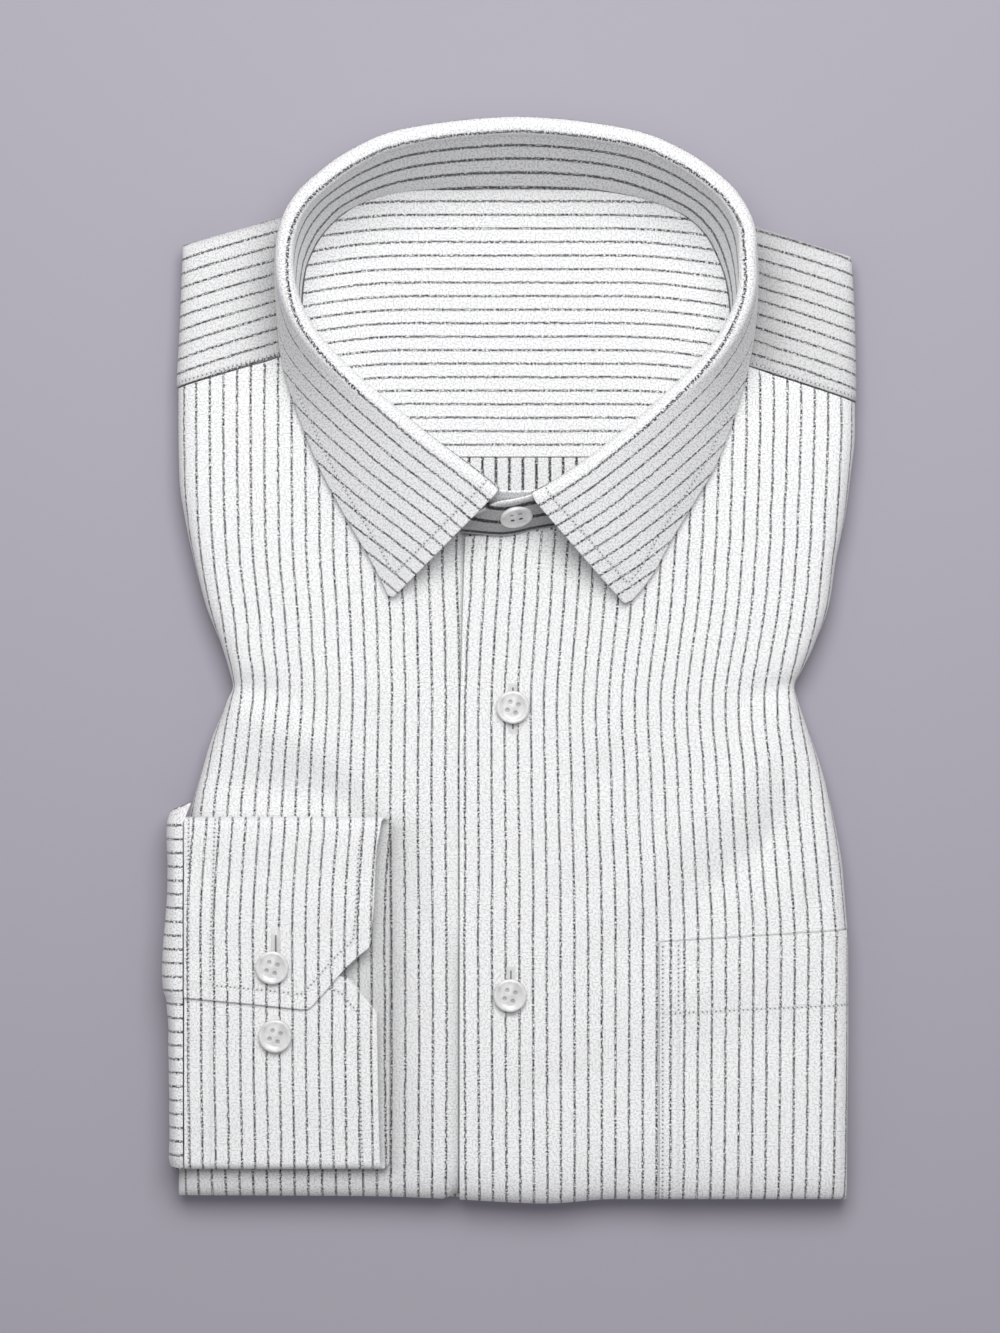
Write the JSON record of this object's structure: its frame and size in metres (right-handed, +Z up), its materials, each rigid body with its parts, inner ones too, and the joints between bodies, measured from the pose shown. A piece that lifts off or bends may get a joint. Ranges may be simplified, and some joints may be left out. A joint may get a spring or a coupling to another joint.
{
  "type": "folded dress shirt",
  "caption": "Folded pinstriped dress shirt lying flat, collar buttoned, with a turned-down collar, plain placket, chest pocket and a mitred cuff laid on its front.",
  "frame": {"origin": "on the surface that the shirt rests on, under the middle of its box", "axes": "+Z up, away from the surface; +Y towards the collar; +X towards the side with the pocket"},
  "size_m": [0.243, 0.3792, 0.0508],
  "materials": {
    "shirt_cloth": "fine cotton twill, white with thin dark stripes",
    "button_pearl": "translucent pearly resin"
  },
  "bodies": {
    "root": {"folded_core": "shirt_cloth", "yoke_outer": "shirt_cloth", "yoke_inner": "shirt_cloth", "back_inner": "shirt_cloth", "front_right": "shirt_cloth", "front_left": "shirt_cloth", "collar_stand": "shirt_cloth", "collar_leaf": "shirt_cloth", "sleeve": "shirt_cloth", "cuff": "shirt_cloth", "pocket": "shirt_cloth", "button_collar": "button_pearl", "button_front_1": "button_pearl", "button_front_2": "button_pearl", "button_cuff_1": "button_pearl", "button_cuff_2": "button_pearl"}
  },
  "joints": []
}
